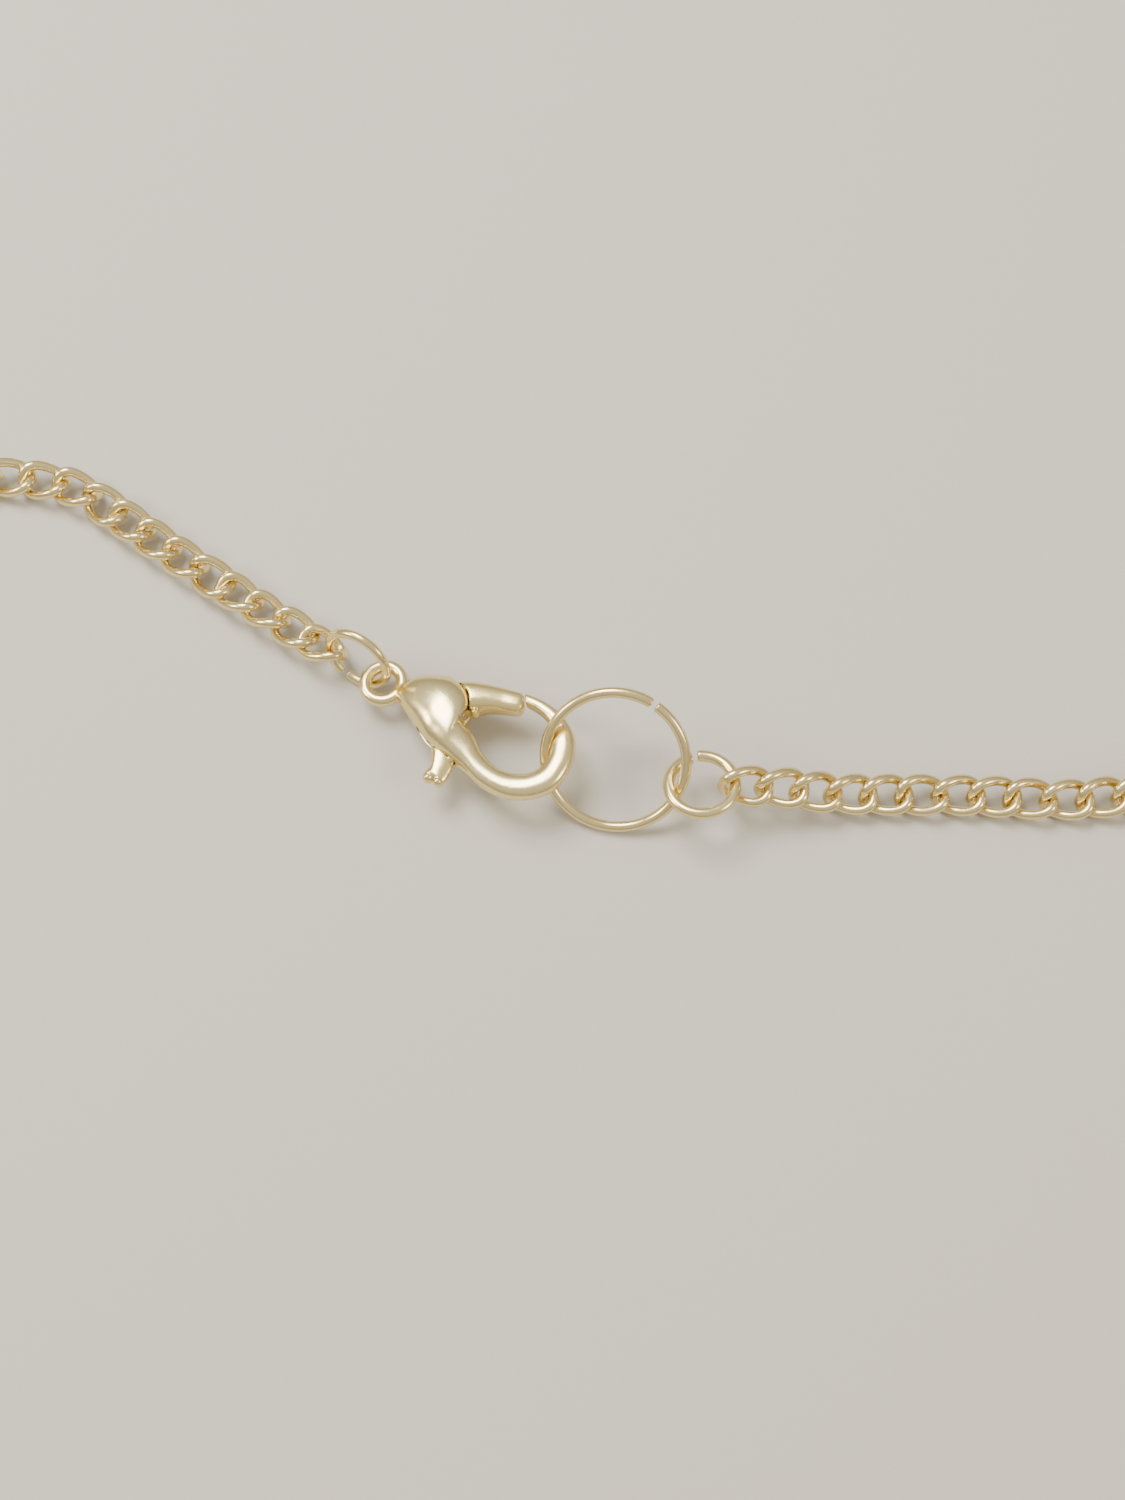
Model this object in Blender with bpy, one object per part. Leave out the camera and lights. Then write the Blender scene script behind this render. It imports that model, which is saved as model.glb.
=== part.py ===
"""Necklace with a figure-eight link: two curb chains, a lobster clasp and its jump rings.

Silver-plated metal, lying flat as a closed loop. Lengths are in millimetres until the meshes
are made, +Z is up and the surface that the necklace lies on is z = 0. The clasp is at -Y and
the figure-eight link is at +Y.
"""
import math

import bmesh
import bpy
from mathutils import Euler, Matrix, Vector

MM = 0.001

# Curb chain
LINK_LENGTH = 2.9
LINK_WIDTH = 2.2
LINK_WIRE = 0.52
LINK_SQUARENESS = 2.8
LINK_TWIST = math.radians(42)
LINK_SEAT = 0.06
LINK_STATIONS = 12
LINK_WIRE_SIDES = 6
LINKS_SHOWN = 16
LINKS_TO_SETTLE = 5
RIGHT_CHAIN_ROLL = 28.0
LEFT_CHAIN_ROLL = -8.0

# Run of chain beyond the linked stretch
RUN_DIAMETER = 1.5
RUN_POINT_STEP = 2.9
RUN_GAP = 0.1
ROUTE_STEPS = 16

# Jump rings
LARGE_RING_OUTER = 7.8
LARGE_RING_WIRE = 0.55
SMALL_RING_OUTER = 4.0
SMALL_RING_WIRE = 0.6
CLASP_RING_OUTER = 4.0
CLASP_RING_WIRE = 0.5
FRONT_RING_OUTER = 4.7
FRONT_RING_WIRE = 0.55
RING_CUT = 0.25
RING_STATIONS = 28

# Clasp body, measured from the middle of its eye
CLASP_REACH = 11.15
CLASP_WIDTH = 5.47
HUMP_THICKNESS = 2.6
EYE_OUTER = 2.66
EYE_STOCK = 0.68
CLASP_SIDES = 16
STEPS_BETWEEN_SECTIONS = 2

# Clasp lever and its pin
PIVOT_ALONG = 0.33
PIVOT_ACROSS = 0.065
PIN_DIAMETER = 0.6
PLATE_THICKNESS = 0.6
PLATE_RADIUS = 0.95
SEAM_RADIUS = 1.3
ROOT_SPREAD = 1.75
SLOT_RADIUS = 2.08
GATE_ROOM_RADIUS = 2.47
RUNNING_GAP = 0.1
LEVER_SWING = math.radians(22)
SLOT_TOP = 2.1
SLOT_DEPTH = 3.95

# Figure-eight link
EIGHT_LENGTH = 22.0
EIGHT_HEIGHT = 8.0
EIGHT_BAND = 1.5
EIGHT_THICKNESS = 1.1
EIGHT_STATIONS = 36
STROKE_OVERLAP = math.radians(4)
STROKE_INSET = 0.02

# Places, each as (x, y, z) of the middle, then tilt about X and turn about Z in degrees
CLASP_PLACE = (-9.34, 3.62, 1.25)
CLASP_TURN = -30.0
CLASP_LIFT = 7.3
LARGE_RING_PLACE = ((2.68, -1.14, 2.60), 39.8, -12.3)
SMALL_RING_PLACE = ((7.09, -2.36, 2.32), 12.6, 191.6)
CLASP_RING_PLACE = ((-10.68, 4.72, 1.90), 106.9, 149.7)
FRONT_RING_PLACE = ((10.30, 0.0, 2.30), 100.9, -0.1)
LARGE_RING_CUT_AT = 67.0
SMALL_RING_CUT_AT = 269.0
CLASP_RING_CUT_AT = 292.0
FRONT_RING_CUT_AT = 60.0

# The first link at each end: place, turn about Z, lift of its far end, roll about its length
RIGHT_FIRST_LINK = ((9.33, -2.35, 2.17), -4.4, -6.2, 41.6)
LEFT_FIRST_LINK = ((-12.62, 5.74, 1.17), 155.0, 0.2, 20.9)
FRONT_LINK = ((12.51, 0.0, 1.15), 0.1, -0.1, 12.5)

# Where the chains run from their first link, a point of each route every few links
RIGHT_ROUTE = [
    (11.2, -2.4, 2.0), (13.3, -2.45, 1.45), (15.4, -2.45, 1.05), (17.5, -2.4, 0.85), (21.4, -2.45, 0.82),
    (24.1, -2.6, 0.82), (28.1, -2.5, 0.82), (36.0, -1.0, 0.82), (48.0, 6.0, 0.82), (58.0, 20.0, 0.82),
    (64.0, 40.0, 0.82), (66.0, 64.0, 0.82), (62.0, 90.0, 0.82), (52.0, 114.0, 0.82), (37.0, 131.0, 0.82),
    (22.0, 139.5, 0.82),
]
LEFT_ROUTE = [
    (-14.4, 6.9, 1.0), (-17.8, 9.2, 0.85), (-21.0, 11.4, 0.82), (-24.2, 13.7, 0.82), (-26.6, 15.2, 0.82),
    (-29.6, 15.8, 0.82), (-38.0, 16.5, 0.82), (-49.0, 21.0, 0.82), (-58.0, 32.0, 0.82), (-64.0, 48.0, 0.82),
    (-66.0, 68.0, 0.82), (-62.0, 92.0, 0.82), (-52.0, 114.0, 0.82), (-37.0, 131.0, 0.82), (-22.0, 139.5, 0.82),
]
EIGHT_PLACE = (0.0, 142.0, 0.65)

# Clasp body sections from the eye round to the hook's tip: the outer and the inner edge along and
# across, as shares of CLASP_REACH and CLASP_WIDTH, and the half thickness, of HUMP_THICKNESS
CLASP_SECTIONS = [
    # outer along, outer across, inner along, inner across, half thickness
    (0.094, -0.085, 0.090, 0.085, 0.16),
    (0.142, -0.141, 0.127, 0.188, 0.29),
    (0.226, -0.226, 0.202, 0.285, 0.42),
    (0.316, -0.324, 0.297, 0.320, 0.50),
    (0.396, -0.372, 0.387, 0.228, 0.49),
    (0.470, -0.392, 0.462, 0.072, 0.42),
    (0.554, -0.425, 0.538, -0.094, 0.335),
    (0.670, -0.486, 0.622, -0.211, 0.27),
    (0.806, -0.478, 0.731, -0.260, 0.225),
    (0.920, -0.361, 0.830, -0.188, 0.205),
    (0.991, -0.168, 0.877, -0.066, 0.20),
    (1.000, 0.066, 0.879, 0.056, 0.20),
    (0.972, 0.262, 0.863, 0.162, 0.19),
    (0.915, 0.405, 0.836, 0.284, 0.18),
    (0.830, 0.500, 0.788, 0.372, 0.17),
    (0.755, 0.534, 0.735, 0.406, 0.16),
    (0.690, 0.540, 0.697, 0.416, 0.15),
    (0.636, 0.526, 0.670, 0.418, 0.12),
]

# Gate sections from the seam to its tip: upper and lower edge, in the same shares
GATE_SECTIONS = [
    # upper along, upper across, lower along, lower across, half thickness
    (0.325, 0.315, 0.430, 0.070, 0.40),
    (0.368, 0.378, 0.487, 0.130, 0.38),
    (0.440, 0.430, 0.530, 0.195, 0.33),
    (0.525, 0.475, 0.580, 0.240, 0.26),
    (0.590, 0.502, 0.632, 0.280, 0.21),
    (0.618, 0.500, 0.655, 0.335, 0.17),
]

# Outline of the thumb tab, in the same shares, from the pivot's left side down and round
TAB_OUTLINE = [
    (0.28, -0.06), (0.362, -0.34), (0.405, -0.46), (0.420, -0.54), (0.412, -0.61), (0.418, -0.665),
    (0.440, -0.690), (0.462, -0.672), (0.485, -0.680), (0.508, -0.665), (0.522, -0.61), (0.522, -0.52),
    (0.512, -0.40), (0.46, -0.24), (0.42, -0.03),
]

WARM_SILVER = (0.70, 0.62, 0.48)
PALE_SILVER = (0.76, 0.70, 0.58)


def clear_scene():
    """Start from an empty scene."""
    for old in list(bpy.data.objects):
        bpy.data.objects.remove(old, do_unlink=True)


def silver(name, colour, roughness):
    """Polished silver plating."""
    material = bpy.data.materials.new(name)
    material.use_nodes = True
    shader = material.node_tree.nodes["Principled BSDF"]
    shader.inputs["Base Color"].default_value = (*colour, 1.0)
    shader.inputs["Metallic"].default_value = 1.0
    shader.inputs["Roughness"].default_value = roughness
    return material


def empty_at(name, parent, place, turn=(0.0, 0.0, 0.0)):
    """An empty that carries the pieces of one group."""
    empty = bpy.data.objects.new(name, None)
    bpy.context.scene.collection.objects.link(empty)
    empty.parent = parent
    empty.location = Vector(place) * MM
    empty.rotation_euler = Euler([math.radians(angle) for angle in turn])
    return empty


def object_from(bm, name, parent, material):
    """Finish a bmesh in millimetres as an object in metres."""
    bmesh.ops.recalc_face_normals(bm, faces=bm.faces)
    bmesh.ops.scale(bm, vec=(MM, MM, MM), verts=bm.verts)
    mesh = bpy.data.meshes.new(name)
    bm.to_mesh(mesh)
    bm.free()
    mesh.shade_smooth()
    mesh.set_sharp_from_angle(angle=math.radians(40))
    obj = bpy.data.objects.new(name, mesh)
    bpy.context.scene.collection.objects.link(obj)
    obj.parent = parent
    if material:
        mesh.materials.append(material)
    return obj


def hide_as_cutter(obj):
    """A cutter shapes another piece and isn't a piece itself."""
    obj.hide_render = True
    obj.display_type = "WIRE"


def combine(obj, other, operation):
    """Join another object to this one, or cut it away."""
    boolean = obj.modifiers.new(other.name, "BOOLEAN")
    boolean.operation = operation
    boolean.object = other
    hide_as_cutter(other)


def loft(bm, sections, closed):
    """Skin the sections, each a list of as many points, and cap the ends of an open row."""
    rows = [[bm.verts.new(point) for point in section] for section in sections]
    pairs = list(zip(rows, rows[1:]))
    if closed:
        pairs.append((rows[-1], rows[0]))
    for row, following in pairs:
        count = len(row)
        for i in range(count):
            j = (i + 1) % count
            bm.faces.new((row[i], row[j], following[j], following[i]))
    if not closed:
        bm.faces.new(rows[0])
        bm.faces.new(rows[-1])


def wire_sections(centres, radius, sides, closed):
    """Round sections of a wire whose centreline is given, square to the centreline."""
    count = len(centres)
    middle = sum(centres, Vector()) / count
    sections = []
    for i, centre in enumerate(centres):
        before = centres[i - 1] if closed or i else centre
        after = centres[(i + 1) % count] if closed or i + 1 < count else centre
        along = (after - before).normalized()
        outward = centre - middle
        outward = (outward - along * outward.dot(along)).normalized()
        upward = along.cross(outward)
        angles = [2 * math.pi * k / sides for k in range(sides)]
        sections.append([
            centre + (outward * math.cos(angle) + upward * math.sin(angle)) * radius
            for angle in angles
        ])
    return sections


def smooth_points(points, steps):
    """Catmull-Rom curve through rows of numbers, with this many steps between two rows."""
    rows = [Vector(row) for row in points]
    rows = [rows[0] * 2 - rows[1]] + rows + [rows[-1] * 2 - rows[-2]]
    curve = []
    for i in range(1, len(rows) - 2):
        before, start, end, after = rows[i - 1:i + 3]
        for k in range(steps):
            t = k / steps
            curve.append(0.5 * (
                start * 2
                + (end - before) * t
                + (before * 2 - start * 5 + end * 4 - after) * t ** 2
                + (start * 3 - before - end * 3 + after) * t ** 3
            ))
    curve.append(rows[-2])
    return curve


def edge_sections(table, sides):
    """Oval sections of the clasp between an outer and an inner edge, in its middle plane."""
    sections = []
    for row in smooth_points(table, STEPS_BETWEEN_SECTIONS):
        outer = Vector((row[0] * CLASP_REACH, row[1] * CLASP_WIDTH, 0.0))
        inner = Vector((row[2] * CLASP_REACH, row[3] * CLASP_WIDTH, 0.0))
        thick = Vector((0.0, 0.0, row[4] * HUMP_THICKNESS))
        middle = (outer + inner) / 2
        half = (inner - outer) / 2
        angles = [2 * math.pi * k / sides for k in range(sides)]
        sections.append([middle + half * math.cos(a) + thick * math.sin(a) for a in angles])
    return sections


def flat_plate(name, outline, thickness, parent, material=None):
    """A plate of this outline, half above and half below the middle plane."""
    bm = bmesh.new()
    bottom = [bm.verts.new((x, y, -thickness / 2)) for x, y in outline]
    face = bm.faces.new(bottom)
    raised = bmesh.ops.extrude_face_region(bm, geom=[face])["geom"]
    moved = [item for item in raised if isinstance(item, bmesh.types.BMVert)]
    bmesh.ops.translate(bm, vec=(0.0, 0.0, thickness), verts=moved)
    return object_from(bm, name, parent, material)


def upright_cylinder(name, centre, diameter, height, sides, parent):
    """A cylinder square to the clasp's middle plane."""
    bm = bmesh.new()
    bmesh.ops.create_cone(
        bm, cap_ends=True, segments=sides, radius1=diameter / 2, radius2=diameter / 2, depth=height,
        matrix=Matrix.Translation(centre),
    )
    return object_from(bm, name, parent, None)


def arc(centre, radius, first, last, steps):
    """Points of an arc in the middle plane, from one angle to another."""
    angles = [first + (last - first) * k / steps for k in range(steps + 1)]
    return [(centre.x + radius * math.cos(a), centre.y + radius * math.sin(a)) for a in angles]


def pivot_point():
    """Where the lever turns, in the clasp's middle plane."""
    return Vector((PIVOT_ALONG * CLASP_REACH, PIVOT_ACROSS * CLASP_WIDTH, 0.0))


def tab_points():
    """The tab's outline in millimetres."""
    return [(along * CLASP_REACH, across * CLASP_WIDTH) for along, across in TAB_OUTLINE]


def slot_outline():
    """Plan of the slot: round the pivot, out to the gate, and as wide as the tab swings."""
    pivot = pivot_point()
    gate_side = arc(pivot, SLOT_RADIUS, math.radians(-35), math.radians(105), 14)
    root_side = arc(pivot, PLATE_RADIUS + RUNNING_GAP, math.radians(115), math.radians(200), 8)
    tab_left = min(point[0] for point in tab_points()) - RUNNING_GAP
    tab_right = max(point[0] for point in tab_points()) + RUNNING_GAP
    swing_left = tab_left - SLOT_DEPTH * math.tan(LEVER_SWING) / 1.5
    lower = [
        (swing_left, pivot.y - SLOT_TOP),
        (swing_left, pivot.y - SLOT_DEPTH),
        (tab_right, pivot.y - SLOT_DEPTH),
        (tab_right, pivot.y - SLOT_TOP),
    ]
    return gate_side + root_side + lower


def make_clasp_body(parent, material):
    """Eye, hump and hook in one casting, slotted for the lever and crossed by its pin."""
    bm = bmesh.new()
    loft(bm, edge_sections(CLASP_SECTIONS, CLASP_SIDES), closed=False)
    body = object_from(bm, "clasp_body", parent, material)

    eye_radius = (EYE_OUTER - EYE_STOCK) / 2
    centres = [Vector((*point, 0.0)) for point in arc(Vector(), eye_radius, 0.0, 2 * math.pi, 24)[:-1]]
    bm = bmesh.new()
    loft(bm, wire_sections(centres, EYE_STOCK / 2, 8, closed=True), closed=True)
    combine(body, object_from(bm, "clasp_eye_form", parent, None), "UNION")

    pivot = pivot_point()
    slot_height = PLATE_THICKNESS + 2 * RUNNING_GAP
    combine(body, flat_plate("lever_slot", slot_outline(), slot_height, parent), "DIFFERENCE")

    seam = arc(pivot, SEAM_RADIUS, math.radians(-12), math.radians(112), 12)
    far = arc(pivot, GATE_ROOM_RADIUS, math.radians(112), math.radians(-12), 8)
    combine(body, flat_plate("gate_room", seam + far, HUMP_THICKNESS * 1.5, parent), "DIFFERENCE")

    pin = upright_cylinder("pin_form", pivot, PIN_DIAMETER, HUMP_THICKNESS * 0.6, 12, parent)
    combine(body, pin, "UNION")
    return body


def make_clasp_lever(parent, material):
    """Gate, root plate and thumb tab in one casting, bored for the pin, about its pivot."""
    pivot = pivot_point()
    place = Matrix.Translation(-pivot)
    pivot_empty = empty_at("lever_pivot", parent, pivot)

    gate = bmesh.new()
    loft(gate, edge_sections(GATE_SECTIONS, 12), closed=False)
    bmesh.ops.transform(gate, matrix=place, verts=gate.verts)
    lever = object_from(gate, "clasp_lever", pivot_empty, material)
    seam = upright_cylinder(
        "seam_form", Vector(), 2 * (SEAM_RADIUS + RUNNING_GAP), HUMP_THICKNESS * 1.5, 48, pivot_empty)
    combine(lever, seam, "DIFFERENCE")

    upper = arc(pivot, PLATE_RADIUS, math.radians(75), math.radians(200), 10)
    inner = arc(pivot, ROOT_SPREAD, math.radians(8), math.radians(66), 8)
    outline = [(x - pivot.x, y - pivot.y) for x, y in inner + upper + tab_points()]
    root = flat_plate("lever_root_form", outline, PLATE_THICKNESS, pivot_empty)
    combine(lever, root, "UNION")

    bore = upright_cylinder(
        "lever_bore", Vector(), PIN_DIAMETER + 2 * RUNNING_GAP, PLATE_THICKNESS * 2, 16, pivot_empty)
    combine(lever, bore, "DIFFERENCE")
    return lever


def make_ring(name, parent, material, outer, wire, place, cut_at):
    """An open jump ring, bent from round wire, with its cut at an angle round it."""
    middle, tilt, turn = place
    radius = (outer - wire) / 2
    half_cut = RING_CUT / 2 / radius
    first = math.radians(cut_at) + half_cut
    last = math.radians(cut_at) + 2 * math.pi - half_cut
    curve = bpy.data.curves.new(name, "CURVE")
    curve.dimensions = "3D"
    curve.bevel_depth = wire / 2 * MM
    curve.bevel_resolution = 1
    curve.use_fill_caps = True
    curve.render_resolution_u = 0
    points = arc(Vector(), radius, first, last, RING_STATIONS)
    spline = curve.splines.new("POLY")
    spline.points.add(len(points) - 1)
    for spline_point, (x, y) in zip(spline.points, points):
        spline_point.co = (x * MM, y * MM, 0.0, 1.0)
    spline.use_smooth = True
    curve.materials.append(material)
    ring = bpy.data.objects.new(name, curve)
    bpy.context.scene.collection.objects.link(ring)
    ring.parent = parent
    ring.location = Vector(middle) * MM
    ring.rotation_euler = Euler((math.radians(tilt), 0.0, math.radians(turn)))
    return ring


def link_centres():
    """Centreline of one curb link: a squarish oval, twisted about its length from end to end."""
    half_length = (LINK_LENGTH - LINK_SEAT - LINK_WIRE) / 2
    half_width = (LINK_WIDTH - LINK_WIRE) / 2
    centres = []
    for k in range(LINK_STATIONS):
        angle = 2 * math.pi * k / LINK_STATIONS
        lengthwise = math.copysign(abs(math.cos(angle)) ** (2 / LINK_SQUARENESS), math.cos(angle))
        across = half_width * math.copysign(abs(math.sin(angle)) ** (2 / LINK_SQUARENESS), math.sin(angle))
        lean = -LINK_TWIST * lengthwise
        centres.append(Vector((
            half_length * lengthwise, across * math.cos(lean), across * math.sin(lean))))
    return centres


def link_matrix(middle, along, roll):
    """Lay a link's length along a direction, rolled about it."""
    turn = math.atan2(along.y, along.x)
    lift = math.asin(max(-1.0, min(1.0, along.z / along.length)))
    return Matrix.Translation(middle) @ Euler((roll, -lift, turn)).to_matrix().to_4x4()


def direction(turn, lift):
    """Unit vector at these angles, in degrees, round Z and up."""
    return Vector((
        math.cos(math.radians(turn)) * math.cos(math.radians(lift)),
        math.sin(math.radians(turn)) * math.cos(math.radians(lift)),
        math.sin(math.radians(lift)),
    ))


def walk(points, spacing, count):
    """Places along a polyline at an even straight spacing from its first point."""
    places = [points[0]]
    target = points[0]
    for start, end in zip(points, points[1:]):
        while (end - target).length >= spacing and len(places) < count:
            step = end - start
            offset = start - target
            a = step.dot(step)
            b = 2 * offset.dot(step)
            c = offset.dot(offset) - spacing ** 2
            t = (-b + math.sqrt(max(b * b - 4 * a * c, 0.0))) / (2 * a)
            if not 0.0 <= t <= 1.0:
                break
            target = start + step * t
            places.append(target)
    return places


def link_pitch():
    """Distance between the middles of two links that hold each other."""
    return LINK_LENGTH - 2 * LINK_WIRE


def linked_places(first_link, route, chain_roll):
    """Matrix of each real link, from the first one along the route."""
    middle, turn, lift, roll = first_link
    line = smooth_points([first_link[0]] + route, ROUTE_STEPS)
    places = walk(line, link_pitch(), LINKS_SHOWN + 1)
    matrices = [link_matrix(Vector(middle), direction(turn, lift), math.radians(roll))]
    for i in range(1, LINKS_SHOWN):
        settle = min(1.0, i / LINKS_TO_SETTLE)
        rolled = math.radians(roll * (1 - settle) + chain_roll * settle)
        matrices.append(link_matrix(places[i], places[i + 1] - places[i - 1], rolled))
    return matrices


def add_link(bm, matrix):
    """One closed link of soldered wire."""
    sections = wire_sections(link_centres(), LINK_WIRE / 2, LINK_WIRE_SIDES, closed=True)
    loft(bm, [[matrix @ point for point in section] for section in sections], closed=True)


def make_linked_chain(name, parent, material, matrices):
    """The links that show, every second one joined to those between, as one body."""
    halves = []
    for half_name, first in ((name, 0), (name + "_between", 1)):
        bm = bmesh.new()
        for matrix in matrices[first::2]:
            add_link(bm, matrix)
        halves.append(object_from(bm, half_name, parent, material))
    combine(halves[0], halves[1], "UNION")
    return halves[0]


def make_chain_run(name, parent, material, first_link, route, end):
    """The rest of the chain as a plain round run, up to the link at the front ring."""
    line = smooth_points([first_link[0]] + route + [tuple(end)], ROUTE_STEPS)
    last_link = walk(line, link_pitch(), LINKS_SHOWN)[-1]
    far = (last_link - line[0]).length
    beyond = [point for point in line if (point - line[0]).length > far
              and (point - last_link).length > LINK_LENGTH / 2 + RUN_GAP]
    points = walk(beyond, RUN_POINT_STEP, len(beyond))
    if (end - points[-1]).length < RUN_POINT_STEP / 2:
        points.pop()
    points.append(end)
    curve = bpy.data.curves.new(name, "CURVE")
    curve.dimensions = "3D"
    curve.bevel_depth = RUN_DIAMETER / 2 * MM
    curve.bevel_resolution = 2
    curve.use_fill_caps = True
    curve.render_resolution_u = 0
    spline = curve.splines.new("POLY")
    spline.points.add(len(points) - 1)
    for spline_point, point in zip(spline.points, points):
        spline_point.co = (*(point * MM), 1.0)
    spline.use_smooth = True
    curve.materials.append(material)
    run = bpy.data.objects.new(name, curve)
    bpy.context.scene.collection.objects.link(run)
    run.parent = parent
    return run


def stroke_points(first, past_end):
    """Middle line of one stroke of the figure eight, from one end across the centre to the other."""
    reach = (EIGHT_LENGTH - EIGHT_BAND) / 2
    rise = (EIGHT_HEIGHT - EIGHT_BAND) / 2
    span = math.pi + 2 * past_end
    angles = [first - past_end + span * k / EIGHT_STATIONS for k in range(EIGHT_STATIONS + 1)]
    return [Vector((reach * math.cos(a), rise * math.sin(2 * a), 0.0)) for a in angles]


def band_sections(points, inset):
    """Flat-backed sections with a softly rounded front, square to a stroke's middle line."""
    half = EIGHT_BAND / 2 - inset
    height = EIGHT_THICKNESS - 2 * inset
    profile = [
        (-half, 0.0), (half, 0.0), (half, 0.55), (0.62 * half, 0.90), (0.0, 1.0),
        (-0.62 * half, 0.90), (-half, 0.55),
    ]
    sections = []
    for i, point in enumerate(points):
        along = points[min(i + 1, len(points) - 1)] - points[max(i - 1, 0)]
        across = Vector((-along.y, along.x, 0.0)).normalized()
        sections.append([
            point + across * side + Vector((0.0, 0.0, inset + rise * height)) for side, rise in profile
        ])
    return sections


def make_eight(parent, material):
    """The figure-eight link, with a flat back; its second stroke ends inside its first one."""
    halves = []
    strokes = (("infinity_link", 0.0, 0.0, 0.0), ("second_stroke", math.pi, STROKE_OVERLAP, STROKE_INSET))
    for name, first, past_end, inset in strokes:
        bm = bmesh.new()
        loft(bm, band_sections(stroke_points(first, past_end), inset), closed=False)
        halves.append(object_from(bm, name, parent, material))
    combine(halves[0], halves[1], "UNION")


def make_front_end(side_name, group, material):
    """The jump ring in one end of the figure eight, and the chain's last link."""
    make_ring("ring_front_" + side_name, group, material, FRONT_RING_OUTER, FRONT_RING_WIRE,
              FRONT_RING_PLACE, FRONT_RING_CUT_AT)
    middle, turn, lift, roll = FRONT_LINK
    bm = bmesh.new()
    add_link(bm, link_matrix(Vector(middle), direction(turn, lift), math.radians(roll)))
    object_from(bm, "link_front_" + side_name, group, material)


def front_run_end(side):
    """Where the chain's plain run stops, short of its last link."""
    away = FRONT_LINK[0][0] + LINK_LENGTH / 2 + RUN_GAP
    height = max(FRONT_LINK[0][2] - LINK_WIRE, RUN_DIAMETER / 2)
    return Vector((EIGHT_PLACE[0] + side * away, EIGHT_PLACE[1], height))


def stand_on_floor_centre(necklace):
    """Move the whole so that the middle of its box's bottom is the origin."""
    bpy.context.view_layer.update()
    graph = bpy.context.evaluated_depsgraph_get()
    low = Vector((math.inf,) * 3)
    high = Vector((-math.inf,) * 3)
    for obj in bpy.context.scene.objects:
        if obj.type == "EMPTY" or obj.hide_render:
            continue
        evaluated = obj.evaluated_get(graph)
        mesh = evaluated.to_mesh()
        for vertex in mesh.vertices:
            point = evaluated.matrix_world @ vertex.co
            low = Vector(map(min, low, point))
            high = Vector(map(max, high, point))
        evaluated.to_mesh_clear()
    necklace.location -= Vector(((low.x + high.x) / 2, (low.y + high.y) / 2, low.z))


def build():
    """Make every piece of the necklace."""
    clear_scene()
    plate = silver("silver_plate", WARM_SILVER, 0.18)
    bright = silver("silver_plate_bright", PALE_SILVER, 0.12)
    necklace = empty_at("necklace", None, (0.0, 0.0, 0.0))
    clasp = empty_at("clasp", necklace, CLASP_PLACE, (0.0, -CLASP_LIFT, CLASP_TURN))
    make_clasp_body(clasp, plate)
    make_clasp_lever(clasp, bright)

    make_ring("ring_large", necklace, bright, LARGE_RING_OUTER, LARGE_RING_WIRE,
              LARGE_RING_PLACE, LARGE_RING_CUT_AT)
    make_ring("ring_small", necklace, bright, SMALL_RING_OUTER, SMALL_RING_WIRE,
              SMALL_RING_PLACE, SMALL_RING_CUT_AT)
    make_ring("ring_clasp", necklace, plate, CLASP_RING_OUTER, CLASP_RING_WIRE,
              CLASP_RING_PLACE, CLASP_RING_CUT_AT)

    chains = (
        ("right", 1.0, RIGHT_FIRST_LINK, RIGHT_ROUTE, RIGHT_CHAIN_ROLL, 0.0),
        ("left", -1.0, LEFT_FIRST_LINK, LEFT_ROUTE, LEFT_CHAIN_ROLL, 180.0),
    )
    for side_name, side, first_link, route, chain_roll, turn in chains:
        matrices = linked_places(first_link, route, chain_roll)
        make_linked_chain("chain_" + side_name + "_links", necklace, plate, matrices)
        make_chain_run("chain_" + side_name, necklace, plate, first_link, route, front_run_end(side))
        front = empty_at("front_" + side_name, necklace, EIGHT_PLACE[:2] + (0.0,), (0.0, 0.0, turn))
        make_front_end(side_name, front, plate)

    eight = empty_at("eight", necklace, EIGHT_PLACE)
    make_eight(eight, bright)
    stand_on_floor_centre(necklace)


build()
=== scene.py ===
import math

import bmesh
import bpy
import numpy as np
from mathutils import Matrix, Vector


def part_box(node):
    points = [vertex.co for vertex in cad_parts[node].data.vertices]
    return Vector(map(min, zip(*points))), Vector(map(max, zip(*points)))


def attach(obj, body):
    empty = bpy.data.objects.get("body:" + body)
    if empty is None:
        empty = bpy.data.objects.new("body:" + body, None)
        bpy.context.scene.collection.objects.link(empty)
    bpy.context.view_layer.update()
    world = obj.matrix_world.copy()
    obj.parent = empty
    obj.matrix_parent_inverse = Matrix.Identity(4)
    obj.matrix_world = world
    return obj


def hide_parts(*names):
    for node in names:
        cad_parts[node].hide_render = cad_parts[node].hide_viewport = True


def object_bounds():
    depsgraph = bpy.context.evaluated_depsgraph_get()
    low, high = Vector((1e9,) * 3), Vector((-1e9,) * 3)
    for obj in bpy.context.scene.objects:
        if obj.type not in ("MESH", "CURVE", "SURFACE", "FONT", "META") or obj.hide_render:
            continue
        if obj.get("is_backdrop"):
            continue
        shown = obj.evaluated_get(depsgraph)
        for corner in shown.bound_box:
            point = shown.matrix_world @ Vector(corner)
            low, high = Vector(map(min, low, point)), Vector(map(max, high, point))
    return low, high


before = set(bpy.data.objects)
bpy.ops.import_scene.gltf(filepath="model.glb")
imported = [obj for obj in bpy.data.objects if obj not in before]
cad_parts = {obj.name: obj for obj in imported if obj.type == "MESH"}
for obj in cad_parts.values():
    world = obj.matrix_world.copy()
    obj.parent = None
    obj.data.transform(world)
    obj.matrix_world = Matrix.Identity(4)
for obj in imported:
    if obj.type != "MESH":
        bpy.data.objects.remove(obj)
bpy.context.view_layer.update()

# The necklace is drawn in millimetres on its own plan, with the clasp near the plan's middle, +Y
# towards the figure-eight link and z = 0 on the surface that it lies on.
MM = 0.001
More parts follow.
